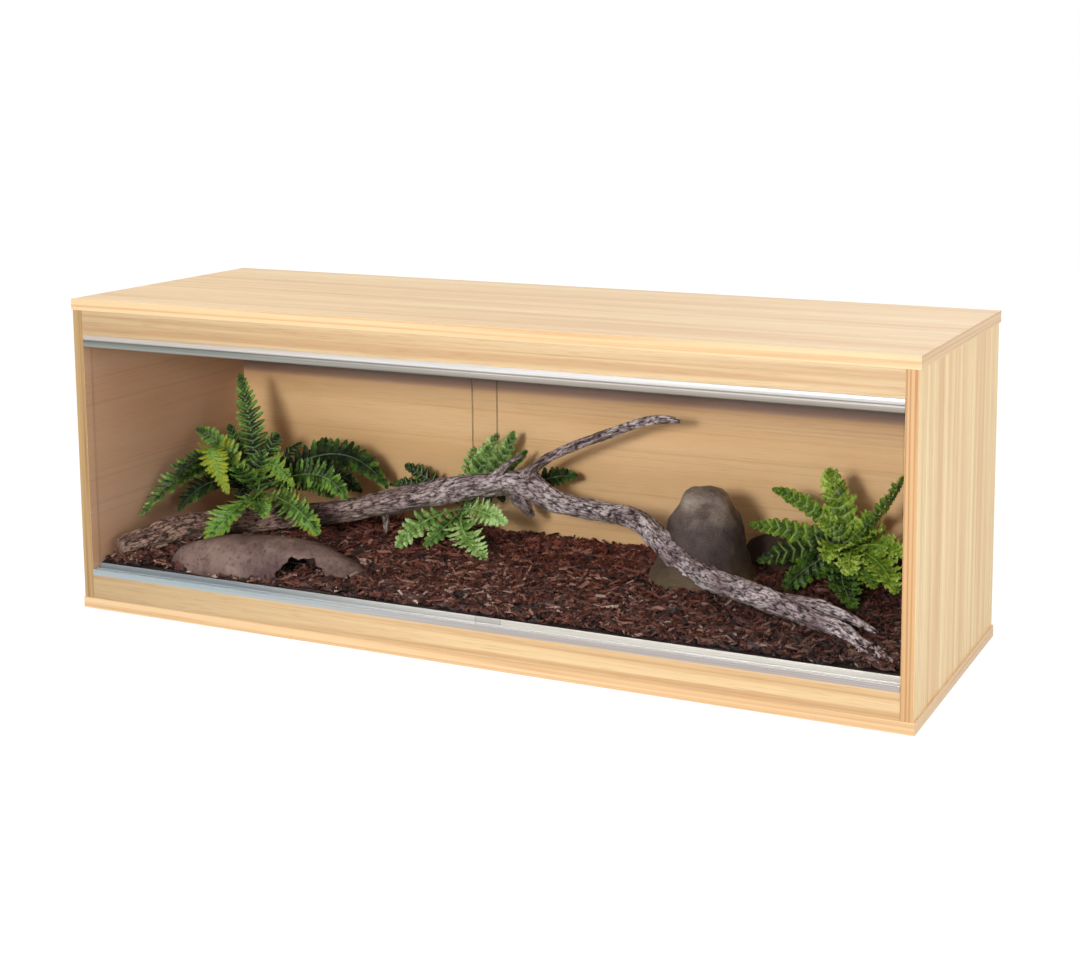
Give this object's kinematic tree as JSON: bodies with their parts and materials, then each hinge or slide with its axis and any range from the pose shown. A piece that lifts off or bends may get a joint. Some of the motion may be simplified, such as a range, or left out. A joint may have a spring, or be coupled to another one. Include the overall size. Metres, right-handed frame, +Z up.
{
  "type": "reptile terrarium",
  "caption": "Wide wood-effect reptile terrarium with sliding glass front, rear vents and cable port, furnished with a bark bed, driftwood branch, cave hide, stones and ferns.",
  "frame": {"origin": "centre of the underside of the case, on the surface it stands on", "axes": "+X to the right along the case seen from the front, +Y to the back, +Z up"},
  "size_m": [1.15, 0.375, 0.421],
  "materials": {
    "faced_board": "satin oak-look foil on board",
    "edging": "satin oak-look edging tape",
    "runner": "satin silver",
    "pane_glass": "clear float glass, ground edges",
    "fitting_metal": "zinc plated",
    "cap_plastic": "board-coloured",
    "dowel_wood": "raw beech",
    "vent_plastic": "moulded, fine texture",
    "bark": "damp chipped bark",
    "driftwood": "weathered, rough",
    "hide_resin": "cast resin, stone look",
    "rock": "dull",
    "slate": "dull",
    "deep_green_leaf": "satin leaf",
    "bright_green_leaf": "satin leaf",
    "yellow_green_leaf": "satin leaf"
  },
  "bodies": {
    "cabinet": {"base_panel": "faced_board", "top_panel": "faced_board", "left_side_panel": "faced_board", "right_side_panel": "faced_board", "back_panel": "faced_board", "top_fascia": "faced_board", "bottom_rail": "faced_board", "top_edge_band": "edging", "base_edge_band": "edging", "side_edge_bands": "edging", "upper_runner": "runner", "lower_runner": "runner", "cam_bolts": "fitting_metal", "cam_locks": "fitting_metal", "cam_caps": "cap_plastic", "wooden_dowels": "dowel_wood", "left_vent": "vent_plastic", "right_vent": "vent_plastic", "cable_grommet": "vent_plastic", "bark_substrate": "bark", "driftwood_branch": "driftwood", "cave_hide": "hide_resin", "cone_rock": "rock", "slate_ledge": "slate", "left_fern": "deep_green_leaf", "middle_fern": "bright_green_leaf", "right_fern": "yellow_green_leaf"},
    "left_door": {"left_glass_pane": "pane_glass"},
    "right_door": {"right_glass_pane": "pane_glass"}
  },
  "joints": [
    {"name": "left_door_slide", "type": "slide", "parent": "cabinet", "child": "left_door", "axis": [1, 0, 0], "range_m": [0, 0.5]},
    {"name": "right_door_slide", "type": "slide", "parent": "cabinet", "child": "right_door", "axis": [1, 0, 0], "range_m": [-0.58, 0]}
  ]
}
